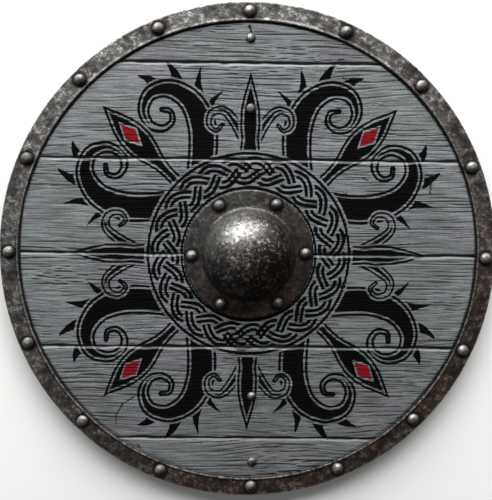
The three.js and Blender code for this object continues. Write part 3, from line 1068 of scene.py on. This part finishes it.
def old_steel(name, tone, steel):
    """Darkened steel, mottled, flaked and rubbed bright along its edges, with painted shade on
    one side, a painted highlight on the other and painted shadows round its rivets.
    """
    look = dict(zip(LOOK_ENTRIES, STEEL_LOOKS[name]))
    surface = Surface(name)
    tree, where = surface.tree, surface.where
    pits = surface.effect("pitting", {"Coordinates": where, "Size": look["size"]})
    mottle = pits["Mottle"]
    # Painted shade: a mask that grows towards the side turned away from the light
    towards = attribute(tree, "below")
    dark = surface.mask("shade_side", below=towards + look["darker"])
    rusty = surface.mask("grime", amount=look["rust"])
    height = flow(tree, "ShaderNodeSeparateXYZ", {0: where}, "Z")
    foot, top = look["above"], look["above"] + WALL_HEIGHT
    high = spread(height, (foot - FOOT_RISE) * MM, foot * MM)
    raised = spread(high, 0.0, 1.0, 0.4, 1.0)
    # Painted shade: the steep wall just above the foot is painted dark, most on the side away
    # from the light
    wall = spread(height, foot * MM, top * MM, look["wall"], 0.0) * high
    wall = wall * spread(towards, -0.5, 0.25, 0.88, 1.0)
    # Painted highlight: the raised steel is painted bright on the side that faces the light
    highlight_side = spread(towards, -0.72, 0.06, look["polish"], 0.0)
    painted_highlight = highlight_side * high * spread(pits["Height"], 0.6, 0.85, 0.35, 1.0)

    base = blend(mottle, rgba(tone, 0.22), rgba(tone))
    base = blend(rusty, base, rgba(steel.rust))
    # The painted highlight, in the colour of worn steel
    base = blend(painted_highlight, base, rgba(steel.worn))
    # The wall painted dark as shade
    base = blend(wall, base, rgba(steel.painted_shade))
    # Painted shade on the side away from the light, mottled with rust
    base = blend(dark * 0.9, base, blend(mottle, rgba(steel.painted_shade), rgba(steel.rust)))
    # The painted shade deepened further on the raised part
    base = blend(dark * high * look["shade"], base, STEEL_SHADE)
    # Painted shade: fewer flakes on the shaded side, and those painted duller
    left = spread(dark, 0.55, 0.95, look["flakes"], look["dull_flakes"])
    flaked = pits["Flakes"] * raised * left * (1.0 - wall)
    base = blend(flaked, base, blend(dark, rgba(steel.worn), rgba(steel.flakes)))
    rubbed = surface.mask("wear", edge=attribute(tree, "worn"), grain_size=220.0)
    base = blend(rubbed * 0.5, base, rgba(steel.worn))
    # Darkened where the wear is below zero, and painted shadow round each rivet
    below_zero_wear = spread(attribute(tree, "worn"), -1.0, 0.0, 1.0, 0.0)
    dirt = calc("MAXIMUM", below_zero_wear, attribute(tree, "rivet_shadow")) * 0.9
    base = blend(dirt, base, RIVET_SHADOW_AND_DARKENING)

    covered = calc("MAXIMUM", rusty, dark * 0.6)
    dielectric = calc("ADD", covered * 0.18, wall * 0.6, True)
    dull = spread(mottle, 0, 1, look["rough"] + 0.12, look["rough"] - 0.04)
    dull = dull + covered * 0.25 + wall * 0.2 - painted_highlight * 0.08
    pitted = pits["Height"] * (raised * (1.0 - painted_highlight * 0.5))
    sockets = {"Metallic": calc("SUBTRACT", 1.0, dielectric, True), "Roughness": dull}
    return surface.dressed(base, pitted, look["pits"] * MM, 0.9, sockets)


# ---- Geometry Nodes ----

GEOMETRY = "NodeSocketGeometry"
INTEGER = "NodeSocketInt"
DENT_INPUTS = (
    ("Dent Size", FLOAT, 0.006),
    ("Dent Depth", FLOAT, 0.0004),
    ("Seed", FLOAT, 0.0),
    ("Material", "NodeSocketMaterial", None),
)


def shape_tree(name, *inputs):
    """An empty Geometry Nodes group that gives out one geometry."""
    return group_tree(name, "GeometryNodeTree", inputs, [("Geometry", GEOMETRY)])


def on_mesh(tree, name):
    """A number stored on the mesh, for Geometry Nodes."""
    return flow(tree, "GeometryNodeInputNamedAttribute", {"Name": name})


def stored(shape, name, value):
    """A shape with a number stored on it."""
    sockets = {"Geometry": shape, "Name": name, "Value": value}
    return flow(shape.tree, "GeometryNodeStoreNamedAttribute", sockets)


def turned_profile_group():
    """Turns a row of points in the XZ plane about Z, with what is stored on them."""
    inputs = ("Profile", GEOMETRY, None), ("Segments", INTEGER, 64), ("Reach", FLOAT, 0.3)
    tree, start, end = shape_tree("Turned Profile", *inputs)
    profile, segments = start["Profile"], start["Segments"]
    sockets = {"Geometry": profile}
    count = flow(tree, "GeometryNodeAttributeDomainSize", sockets, "Point Count")
    sockets = {"Size X": 1.0, "Size Y": 1.0, "Vertices X": segments + 1.0, "Vertices Y": count}
    grid = flows_of(tree, node(tree, "GeometryNodeMeshGrid", sockets))
    sockets = {"Geometry": grid["Mesh"], "Name": "OFBake", "Value": grid["UV Map"]}
    kind = {"data_type": "FLOAT2", "domain": "CORNER"}
    mapped = flow(tree, "GeometryNodeStoreNamedAttribute", sockets, **kind)
    index = flow(tree, "GeometryNodeInputIndex")
    column = calc("FLOOR", index / count)
    row = index - column * count

    def on_profile(value, kind):
        sockets = {"Geometry": profile, "Value": value, "Index": row}
        return flow(tree, "GeometryNodeSampleIndex", sockets, data_type=kind)

    point = on_profile(flow(tree, "GeometryNodeInputPosition"), "FLOAT_VECTOR")
    place = flows_of(tree, node(tree, "ShaderNodeSeparateXYZ", {0: point}))
    angle = column / segments * (2 * math.pi)
    across, up = (place["X"] * calc(part, angle) for part in ("COSINE", "SINE"))
    sockets = {"X": across, "Y": up, "Z": place["Z"]}
    position = flow(tree, "ShaderNodeCombineXYZ", sockets)
    sockets = {"Geometry": mapped, "Position": position}
    shape = flow(tree, "GeometryNodeSetPosition", sockets)
    # Painted shade: how far each point lies towards the shaded side, for the material to darken
    down = vector_math("DOT_PRODUCT", {0: position, 1: SHADED_SIDE}, "Value")
    shape = stored(shape, "below", down / start["Reach"])
    for name in ("relief", "worn"):
        shape = stored(shape, name, on_profile(on_mesh(tree, name), "FLOAT"))
    sockets = {"Geometry": shape, "Distance": 1e-6}
    merged = flow(tree, "GeometryNodeMergeByDistance", sockets)
    fill(end, {"Geometry": flow(tree, "GeometryNodeFlipFaces", {"Mesh": merged})})
    return tree


def turned_outline(start, segments):
    """The turned outline, and the places that are marked among its points."""
    tree = segments.tree
    sockets = {"Geometry": start["Geometry"], "Selection": on_mesh(tree, "place")}
    parted = flows_of(tree, node(tree, "GeometryNodeSeparateGeometry", sockets))
    sockets = {"Profile": parted["Inverted"], "Segments": segments, "Reach": start["Reach"]}
    turning = shared("Turned Profile", turned_profile_group)
    return use_group(tree, turning, sockets)["Geometry"], parted["Selection"]


def dented(geometry, start):
    """Pushes a surface in by shallow hammer marks, as far as its stored relief allows."""
    tree = geometry.tree
    shift = flow(tree, "ShaderNodeCombineXYZ", {"Z": start["Seed"]})
    moved = vector_math("ADD", {0: flow(tree, "GeometryNodeInputPosition"), 1: shift})
    scale = calc("DIVIDE", 1.0, start["Dent Size"])
    wobble = vector_math("SCALE", {0: noise(moved, scale * 0.6, 2.0), "Scale": 0.006})
    wobbled = vector_math("ADD", {0: moved, 1: wobble})
    sockets = {"Vector": wobbled, "Scale": scale, "Smoothness": 0.25, "Randomness": 1.0}
    cells = flow(tree, "ShaderNodeTexVoronoi", sockets, "Distance", feature="SMOOTH_F1")
    bowl = calc("SUBTRACT", 1.0, cells * cells, True)
    rough = noise(moved, scale * 1.7, 3.0, 0.6)
    amount = bowl * 0.55 + rough * 0.75
    inwards = amount * on_mesh(tree, "relief") * (start["Dent Depth"] * -1.0)
    normal = flow(tree, "GeometryNodeInputNormal")
    offset = vector_math("SCALE", {0: normal, "Scale": inwards})
    return flow(tree, "GeometryNodeSetPosition", {"Geometry": geometry, "Offset": offset})


def finished(geometry, start, end):
    """Closes a tree with hammer marks, smooth shading, real geometry and the material."""
    tree = geometry.tree
    smooth = flow(tree, "GeometryNodeSetShadeSmooth", {"Geometry": dented(geometry, start)})
    real = flow(tree, "GeometryNodeRealizeInstances", {"Geometry": smooth})
    sockets = {"Geometry": real, "Material": start["Material"]}
    fill(end, {"Geometry": flow(tree, "GeometryNodeSetMaterial", sockets)})
    return tree


def hammered_sheet_tree():
    """A turned profile with hammer marks: the rim and the boss."""
    tree, start, end = shape_tree(
        "Hammered Sheet",
        ("Geometry", GEOMETRY, None),
        ("Segments", INTEGER, 64),
        ("Rivet Shadow", FLOAT, 0.012),
        ("Reach", FLOAT, 0.3),
        *DENT_INPUTS,
    )
    shape, places = turned_outline(start, start["Segments"])
    # Painted shadow: a dark ring round each rivet's place
    settings = {"output": "Distance", "target_element": "POINTS"}
    away = flow(tree, "GeometryNodeProximity", {"Target": places}, **settings)
    near = spread(away, start["Rivet Shadow"] * 0.62, start["Rivet Shadow"], 1.0, 0.0)
    return finished(stored(shape, "rivet_shadow", near), start, end)


def rivets_tree():
    """A turned rivet on every point that is marked as a place, each a little different."""
    tree, start, end = shape_tree(
        "Rivets",
        ("Geometry", GEOMETRY, None),
        ("Sides", INTEGER, 24),
        ("Uneven", FLOAT, 0.07),
        ("Size Seed", INTEGER, 0),
        ("Reach", FLOAT, 0.007),
        *DENT_INPUTS,
    )
    rivet, places = turned_outline(start, start["Sides"])
    sockets = {"Geometry": rivet, "Name": "OFBake"}
    bare = flow(tree, "GeometryNodeRemoveAttribute", sockets)
    bare = flow(tree, "GeometryNodeSetShadeSmooth", {"Geometry": bare})
    sockets = {2: 1.0 - start["Uneven"], 3: 1.0, "Seed": start["Size Seed"]}
    size = flow(tree, "FunctionNodeRandomValue", sockets, 1, data_type="FLOAT")
    scale = flow(tree, "ShaderNodeCombineXYZ", {"X": size, "Y": size, "Z": 1.0})
    sockets = {"Points": places, "Instance": bare, "Scale": scale}
    copies = flow(tree, "GeometryNodeInstanceOnPoints", sockets)
    real = flow(tree, "GeometryNodeRealizeInstances", {"Geometry": copies})
    return finished(real, start, end)


def grown(piece, tree, values):
    """Runs a Geometry Nodes tree on an object and keeps the result as its plain mesh."""
    modifier = piece.modifiers.new("Shape", "NODES")
    modifier.node_group = tree
    for socket in tree.interface.items_tree:
        if socket.in_out == "INPUT" and socket.name in values:
            modifier[socket.identifier] = values[socket.name]
    applied(piece, modifier)


# ---- Outlines of the turned pieces ----


class Outline:
    """Points (radius, height) from one leg to the next, with relief and wear on each.

    A wear below zero darkens the steel there.
    """

    def __init__(self):
        self.points, self.relief, self.worn = [], [], []

    def add(self, points, relief=0.0, worn=0.0):
        """Adds a leg; its wear is one value, or one for each point."""
        for point, wear in zip(points, np.broadcast_to(worn, len(points)).tolist()):
            if self.points and math.dist(self.points[-1], point) < 1e-6:
                continue
            self.points.append(tuple(point))
            self.relief.append(relief)
            self.worn.append(wear)

    def line(self, end, step, relief=0.0, worn=0.0):
        """A straight leg from the last point."""
        start = self.points[-1]
        count = max(1, round(math.dist(start, end) / step))
        shares = np.linspace(0, 1, count + 1)[1:, None]
        self.add(np.array(start) + shares * (np.array(end) - start), relief, worn)

    def mesh(self, name, extra_points):
        """The outline as loose vertices in the XZ plane, followed by places to stand at."""
        profile = [(radius, 0, height) for radius, height in self.points]
        made = mesh_from(name, [*profile, *extra_points], [])
        places = len(extra_points)
        store(made, "relief", self.relief + [0.0] * places)
        store(made, "worn", self.worn + [0.0] * places)
        store(made, "place", [0.0] * len(profile) + [1.0] * places)
        return made


def arc(centre, size, start, end, steps):
    """Points of an arc or of an ellipse's part, angles in degrees."""
    wide, tall = size
    angles = np.radians(np.linspace(start, end, steps + 1))
    across, up = centre[0] + wide * np.cos(angles), centre[1] + tall * np.sin(angles)
    return np.stack([across, up], axis=-1)


def rivet_places(prefix, height):
    """The middle of each rivet whose name starts with a prefix, at a height."""
    middles = [sum(corners(name)) / 2 for name in numbered(prefix)]
    return [(middle[0], middle[1], height) for middle in middles]


def rim_outline():
    """Round the folded sheet: front bead, front band, side, back and the channel inside."""
    outer, back, front = RIM_HIGH[0], RIM_LOW[2], RIM_HIGH[2] - RIM_BEAD[1]
    inner = outer - RIM_BAND
    fold = outer - RIM_FOLD
    bead_wide, bead_tall = RIM_BEAD
    outline = Outline()
    outline.add([(inner, front - SHEET)])
    outline.line((inner, front), 0.7, 0.2, 0.0)
    bead = arc((inner + bead_wide / 2, front), (bead_wide / 2, bead_tall), 180, 0, 9)
    outline.add(bead, 0.3, 0.45)
    outline.line((fold, front), 1.0, 1.0, 0.0)
    outline.add(arc((fold, front - RIM_FOLD), (RIM_FOLD, RIM_FOLD), 90, 0, 5), 0.5, 0.45)
    outline.line((outer, back + RIM_FOLD), 1.4, 0.8, 0.1)
    outline.add(arc((fold, back + RIM_FOLD), (RIM_FOLD, RIM_FOLD), 0, -90, 4), 0.5, 0.3)
    outline.line((inner, back), 2.6, 0.5, 0.0)
    outline.line((inner, back + SHEET), 1.0)
    outline.line((outer - SHEET, back + SHEET), 7.0)
    outline.line((outer - SHEET, front - SHEET), 5.0)
    outline.line((inner, front - SHEET), 7.0)
    return outline


def boss_outline():
    """From the crown down the dome and out over the flange, then back up inside."""
    crown, flange, sheet_back = BOSS_HIGH[2], BOSS_HIGH[0], BOSS_LOW[2]
    face = sheet_back + SHEET
    shoulder = face + DOME_WALL
    cap = DOME_RADIUS - DOME_LEAN
    bevel_in, bevel_down = FLANGE_BEVEL
    outline = Outline()
    dome = arc((0, shoulder), (cap, crown - shoulder), 90, 0, 64)
    rubbed = [0.35 * max(0.0, 1 - step / 45) for step in range(len(dome))]
    outline.add(dome, 1.0, rubbed)
    outline.points[0] = (0.0, crown)
    outline.line((DOME_RADIUS - 0.2, face + DOME_FOOT), 0.9, 0.5, 0.1)
    centre, size = (DOME_RADIUS + DOME_FOOT, face + DOME_FOOT), (DOME_FOOT, DOME_FOOT - 0.1)
    outline.add(arc(centre, size, 180, 270, 6), 0.3, -0.35)
    outline.line((flange - bevel_in, face), 1.1, 0.75, 0.0)
    outline.line((flange, face - bevel_down), 0.5, 0.7, -0.6)
    outline.line((flange, sheet_back), 0.6, 0.2, -0.6)
    outline.line((DOME_RADIUS + DOME_FOOT - SHEET, sheet_back), 2.4)
    outline.line((DOME_RADIUS - SHEET, sheet_back + DOME_FOOT), 1.5)
    inside = arc((0, shoulder), (cap - SHEET, crown - shoulder - SHEET), 0, 90, 30)
    outline.add(inside, 0.3, 0.0)
    outline.points[-1] = (0.0, crown - SHEET)
    return outline


def rivet_outline(node_name, head_height):
    """From the crown of the head to the end of the tail."""
    low, high = corners(node_name)
    radius, crown, end = (high[0] - low[0]) / 2, high[2], low[2]
    seat = crown - head_height
    tail_radius, tail_thick = TAIL
    outline = Outline()
    outline.add(arc((0, seat), (radius, head_height), 90, 6, 11), 1.0, 0.0)
    outline.points[0] = (0.0, crown)
    outline.line((radius, seat), 0.5, 0.3)
    outline.line((SHANK_RADIUS, seat), 3.0)
    outline.line((SHANK_RADIUS, end + tail_thick), 8.0)
    outline.line((tail_radius, end + tail_thick), 2.0)
    outline.add(arc((tail_radius - 1, end + 1), (1, 1), 0, -90, 3), 0.3)
    outline.line((0, end), 1.6, 0.3)
    return outline


# ---- Grip bar ----

BAR_STATION_STEP = 3.0
BAR_CORNER_RADIUS = 3.4
BAR_CORNER_STEPS = 5
BAR_FLAT_STEPS = 8
BAR_GRAIN_STEP = 1.6  # of the grain, from one point of a section to the next
BAR_SMOOTH_ANGLE = 50.0
COUNTERBORE_SIDES = 40


def bar_half_width(y):
    """Even where the hand closes on it, and narrower towards the ends."""
    share = np.clip((abs(y) - BAR_TAPER_START) / (BAR_HALF_LENGTH - BAR_TAPER_START), 0, 1)
    return BAR_GRIP_HALF_WIDTH + share * (BAR_END_HALF_WIDTH - BAR_GRIP_HALF_WIDTH)


def bar_section(half, drawn_in):
    """A rounded rectangle in X and Z, smaller all round by drawn_in."""
    low, high = BAR_LOW[2] + drawn_in, BAR_HIGH[2] - drawn_in
    half = half - drawn_in
    radius = BAR_CORNER_RADIUS
    section = []
    for x, z, start in (
        (half - radius, low + radius, -90),
        (half - radius, high - radius, 0),
        (radius - half, high - radius, 90),
        (radius - half, low + radius, 180),
    ):
        section.extend(arc((x, z), (radius, radius), start, start + 90, BAR_CORNER_STEPS))
    divided = []
    for number, (first, second) in enumerate(zip(section, section[1:] + section[:1])):
        on_flat = (number + 1) % (BAR_CORNER_STEPS + 1) == 0
        parts = BAR_FLAT_STEPS if on_flat else 1
        divided.extend(first + (second - first) * i / parts for i in range(parts))
    return np.array(divided)


def on_bar_line(x, y):
    """Points of an upright bar, turned and moved onto the line through the grip rivets."""
    places = np.array(rivet_places("grip_rivet_", 0.0))
    upwards, middle = places[0] - places[-1], (places[0] + places[-1]) / 2
    x, y = turned_by(x, y, math.degrees(math.atan2(upwards[0], upwards[1])))
    return x + middle[0], y + middle[1]


def grip_bar(wood, finish):
    """A rounded wooden bar with counterbores for the rivets' tails in its underside."""
    end = BAR_HALF_LENGTH
    rounded = np.linspace(0, 1, 5)[:-1] * math.pi / 2
    middle = np.arange(-end + BAR_EDGE, 0.001, BAR_STATION_STEP)
    stations = np.concatenate([-end + BAR_EDGE * (1 - np.cos(rounded)), middle])
    insets = np.concatenate([BAR_EDGE * (1 - np.sin(rounded)), 0 * middle])
    stations = np.concatenate([stations, -stations[::-1]])
    insets = np.concatenate([insets, insets[::-1]])
    sections = [bar_section(bar_half_width(y), inset) for y, inset in zip(stations, insets)]
    sections = np.array(sections)
    stations = np.broadcast_to(stations[:, None], sections.shape[:2])
    around = np.arange(sections.shape[1]) * BAR_GRAIN_STEP
    size, around = (2 * end, around[-1]), np.broadcast_to(around, stations.shape)
    grain = Grain((wood.seed, 77), size, stations + end, around, wood.groove_pitch / MM)
    underside = sections[..., 1] < BAR_LOW[2] + 0.5
    depth = np.where(underside, 0.0, 0.35 * grain.groove + 0.06 * (grain.broad + 2).clip(0))
    centre = np.array([0, (BAR_LOW[2] + BAR_HIGH[2]) / 2])
    outwards = sections - centre
    outwards = outwards / np.linalg.norm(outwards, axis=-1, keepdims=True)
    sections = sections - depth[..., None] * outwards
    x, y = on_bar_line(sections[..., 0], stations)
    points = np.stack([x, y, sections[..., 1]], -1)
    numbers = np.arange(stations.size).reshape(stations.shape)
    ring = np.concatenate([numbers, numbers[:, :1]], axis=1)
    faces = quads(ring)[:, ::-1].tolist()
    faces += [numbers[0].tolist(), numbers[-1][::-1].tolist()]
    mesh = mesh_from("grip_bar", points.reshape(-1, 3), faces, [finish])
    piece = linked("wooden_grip_bar", mesh)
    cut_counterbores(piece)
    piece.data.shade_smooth()
    piece.data.set_sharp_from_angle(angle=math.radians(BAR_SMOOTH_ANGLE))
    return piece


def cut_counterbores(piece):
    """Takes a flat-bottomed hole out of the bar's underside at each grip rivet."""
    radius, depth = COUNTERBORE
    cutter = bmesh.new()
    size = {"radius1": radius * MM, "radius2": radius * MM, "depth": 2 * depth * MM}
    for middle in rivet_places("grip_rivet_", 0.0):
        place = Matrix.Translation(Vector(middle) * MM)
        sides = {"cap_ends": True, "segments": COUNTERBORE_SIDES}
        bmesh.ops.create_cone(cutter, matrix=place, **sides, **size)
    mesh = bpy.data.meshes.new("counterbores")
    cutter.to_mesh(mesh)
    cutter.free()
    holes = linked("counterbores", mesh)
    modifier = piece.modifiers.new("Counterbores", "BOOLEAN")
    modifier.operation = "DIFFERENCE"
    modifier.solver = "EXACT"
    modifier.object = holes
    applied(piece, modifier)
    bpy.data.objects.remove(holes)


# ---- Operators ----


class SHIELD_OT_planks(bpy.types.Operator):
    """Makes the six planks, with their grain and the painted ornament"""

    bl_idname = "shield.planks"
    bl_label = "Planks"

    def execute(self, context):
        wood, ornament = context.scene.shield_wood, context.scene.shield_ornament
        finishes = [
            painted_wood(wood, ornament),
            plain_wood("wood_at_the_back", wood.back, BACK_STAIN),
        ]
        drawing = Ornament(ornament)
        for number, name in enumerate(PLANKS):
            piece = plank(name, wood, drawing, (wood.seed, number), finishes)
            placed(piece, "painted_wood", name)
        return {"FINISHED"}


RIM_DENT_SIZE = 1.1  # of its hammer marks, as a share of the boss's
RIM_DENT_DEPTH = 1.7
BOSS_REACH = 0.85  # of its radius, where its painted shade is quite dark


def hammered(steel, node_name, label, outline, seat, values):
    """A hammered piece of sheet steel, which stands for a CAD node and knows its rivets."""
    finish = node_name + "_steel"
    places = rivet_places(node_name + "_rivet_", seat)
    piece = linked(label, outline.mesh(node_name, places))
    values["Rivet Shadow"] = steel.rivet_shadow
    values["Material"] = old_steel(finish, steel.steel, steel)
    grown(piece, shared("Hammered Sheet", hammered_sheet_tree), values)
    placed(piece, finish, node_name)


class SHIELD_OT_rim(bpy.types.Operator):
    """Makes the folded steel rim"""

    bl_idname = "shield.rim"
    bl_label = "Rim"

    def execute(self, context):
        steel = context.scene.shield_steel
        values = {
            "Segments": steel.rim_segments,
            "Reach": RIM_HIGH[0] * MM,
            "Dent Size": RIM_DENT_SIZE * steel.dent_size,
            "Dent Depth": RIM_DENT_DEPTH * steel.dent_depth,
            "Seed": float(steel.seed),
        }
        seat = RIM_HIGH[2] - RIM_BEAD[1]
        hammered(steel, "rim", "folded_rim", rim_outline(), seat, values)
        return {"FINISHED"}


class SHIELD_OT_boss(bpy.types.Operator):
    """Makes the hammered steel boss"""

    bl_idname = "shield.boss"
    bl_label = "Boss"

    def execute(self, context):
        steel = context.scene.shield_steel
        values = {
            "Segments": steel.boss_segments,
            "Reach": BOSS_REACH * BOSS_HIGH[0] * MM,
            "Dent Size": steel.dent_size,
            "Dent Depth": steel.dent_depth,
            "Seed": float(steel.seed) + 1.0,
        }
        seat = BOSS_LOW[2] + SHEET
        hammered(steel, "boss", "hammered_boss", boss_outline(), seat, values)
        return {"FINISHED"}


class SHIELD_OT_rivets(bpy.types.Operator):
    """Makes the rivets of the rim, of the boss and of the grip bar"""

    bl_idname = "shield.rivets"
    bl_label = "Rivets"

    def execute(self, context):
        rivets = context.scene.shield_rivets
        finish = old_steel("rivet_steel", rivets.steel, context.scene.shield_steel)
        tree = shared("Rivets", rivets_tree)
        for number, (prefix, head_height) in enumerate(HEAD_HEIGHTS.items()):
            nodes = numbered(prefix)
            mesh = rivet_outline(nodes[0], head_height).mesh(prefix, rivet_places(prefix, 0.0))
            piece = linked(prefix.strip("_") + "s", mesh)
            values = {
                "Sides": rivets.sides,
                "Uneven": rivets.uneven,
                "Size Seed": rivets.seed + number,
                "Reach": RIVET_REACH * MM,
                "Dent Size": RIVET_DENT_SIZE * MM,
                "Dent Depth": rivets.dent_depth,
                "Seed": float(rivets.seed + number),
                "Material": finish,
            }
            grown(piece, tree, values)
            placed(piece, "rivet_steel", *nodes)
        return {"FINISHED"}


class SHIELD_OT_grip_bar(bpy.types.Operator):
    """Makes the wooden grip bar across the back"""

    bl_idname = "shield.grip_bar"
    bl_label = "Grip Bar"

    def execute(self, context):
        wood = context.scene.shield_wood
        finish = plain_wood("grip_wood", wood.bar, BAR_STAIN, along_y=True)
        placed(grip_bar(wood, finish), "bare_wood", "grip_bar")
        return {"FINISHED"}


FLOOR_SIZE = 4400.0
CAMERA_PLACE = (-26.6, 109.6, 1124.3)
CAMERA_TURN = (5.4, 1.21, -0.69)  # degrees about X, Y and Z, from looking straight down
CAMERA_LENS = 64.7
KEY_DISTANCE = 2600.0
KEY_SIZE = (4000.0, 2200.0)
KEY_TARGET = (0.0, 0.0, 30.0)


def key_light(stage):
    """The main light, wide and soft, which looks at the shield."""
    up, turn = stage.key_elevation, stage.key_turn
    flat = KEY_DISTANCE * math.cos(up)
    place = (-flat * math.sin(turn), flat * math.cos(turn), KEY_DISTANCE * math.sin(up))
    data = bpy.data.lights.new("key", "AREA")
    data.shape = "RECTANGLE"
    data.energy = stage.key_power
    data.size, data.size_y = (side * MM for side in KEY_SIZE)
    lamp = linked("key", data)
    lamp.visible_camera = False
    lamp.location = Vector(place) * MM
    lamp.rotation_mode = "QUATERNION"
    towards = Vector(KEY_TARGET) * MM - lamp.location
    lamp.rotation_quaternion = towards.to_track_quat("-Z", "Y")


def studio(stage):
    """A pale backdrop whose light comes from above and fades towards the horizon."""
    world = bpy.data.worlds.new("studio")
    world.use_nodes = True
    tree = world.node_tree
    way = flow(tree, "ShaderNodeTexCoord", output="Generated")
    upwards = flow(tree, "ShaderNodeSeparateXYZ", {0: way}, "Z")
    light = spread(upwards, -0.1, 1.0, 0.12, 1.0) * stage.sky
    seen = flow(tree, "ShaderNodeLightPath", output="Is Camera Ray")
    strength = flow(tree, "ShaderNodeMix", {0: seen, 2: light, 3: stage.backdrop})
    fill(tree.nodes["Background"], {"Color": (1, 1, 1, 1), "Strength": strength})
    return world


class SHIELD_OT_stage(bpy.types.Operator):
    """Makes the floor, the lights and the camera"""

    bl_idname = "shield.stage"
    bl_label = "Stage"

    def execute(self, context):
        stage = context.scene.shield_stage
        half = FLOOR_SIZE / 2
        square = [(-half, -half, 0), (half, -half, 0), (half, half, 0), (-half, half, 0)]
        surface = Surface("floor")
        colours = rgba(stage.floor), rgba(stage.floor, 0.98)
        colours = blend(noise(surface.where, 3.0), *colours)
        fill(surface.shader, {"Base Color": colours, "Roughness": 0.9})
        cover = surface.made
        linked("floor", mesh_from("floor", square, [(0, 1, 2, 3)], [cover]))
        context.scene.world = studio(stage)
        key_light(stage)

        data = bpy.data.cameras.new("camera")
        data.lens, data.sensor_width, data.sensor_fit = CAMERA_LENS, 36.0, "AUTO"
        camera = linked("camera", data)
        about_x, about_y, about_z = (math.radians(angle) for angle in CAMERA_TURN)
        seen = (
            Matrix.Rotation(about_z, 3, "Z")
            @ Matrix.Rotation(about_x, 3, "X")
            @ Matrix.Rotation(about_y, 3, "Y")
        )
        camera.rotation_mode = "QUATERNION"
        camera.rotation_quaternion = seen.transposed().to_quaternion()
        camera.location = Vector(CAMERA_PLACE) * MM
        context.scene.camera = camera
        context.scene.view_settings.view_transform = "Standard"
        return {"FINISHED"}


class SHIELD_PT_panel(bpy.types.Panel):
    """Lists what can be made, and the sizes and colours it is made with."""

    bl_idname = "SHIELD_PT_panel"
    bl_label = "Shield"
    bl_space_type = "VIEW_3D"
    bl_region_type = "UI"
    bl_category = "Shield"

    def draw(self, context):
        for operator in OPERATORS:
            self.layout.operator(operator.bl_idname)
        for name in GROUPS:
            settings = getattr(context.scene, name)
            box = self.layout.box()
            for prop in settings.bl_rna.properties:
                if not prop.is_readonly and prop.identifier != "name":
                    box.prop(settings, prop.identifier)


GROUPS = {
    "shield_wood": ShieldWood,
    "shield_ornament": ShieldOrnament,
    "shield_steel": ShieldSteel,
    "shield_rivets": ShieldRivets,
    "shield_stage": ShieldStage,
}
OPERATORS = (
    SHIELD_OT_planks,
    SHIELD_OT_rim,
    SHIELD_OT_boss,
    SHIELD_OT_rivets,
    SHIELD_OT_grip_bar,
    SHIELD_OT_stage,
)


def register():
    """Registers the classes and puts the settings on the scene."""
    for kind in (*GROUPS.values(), *OPERATORS, SHIELD_PT_panel):
        bpy.utils.register_class(kind)
    for name, kind in GROUPS.items():
        setattr(bpy.types.Scene, name, PointerProperty(type=kind))


def unregister():
    """Takes the settings and the classes away again."""
    for name in GROUPS:
        delattr(bpy.types.Scene, name)
    for kind in reversed((*GROUPS.values(), *OPERATORS, SHIELD_PT_panel)):
        bpy.utils.unregister_class(kind)


def main():
    """Makes every piece and the stage."""
    register()
    bpy.ops.shield.planks()
    bpy.ops.shield.rim()
    bpy.ops.shield.boss()
    bpy.ops.shield.rivets()
    bpy.ops.shield.grip_bar()
    bpy.ops.shield.stage()


if __name__ == "__main__":
    main()
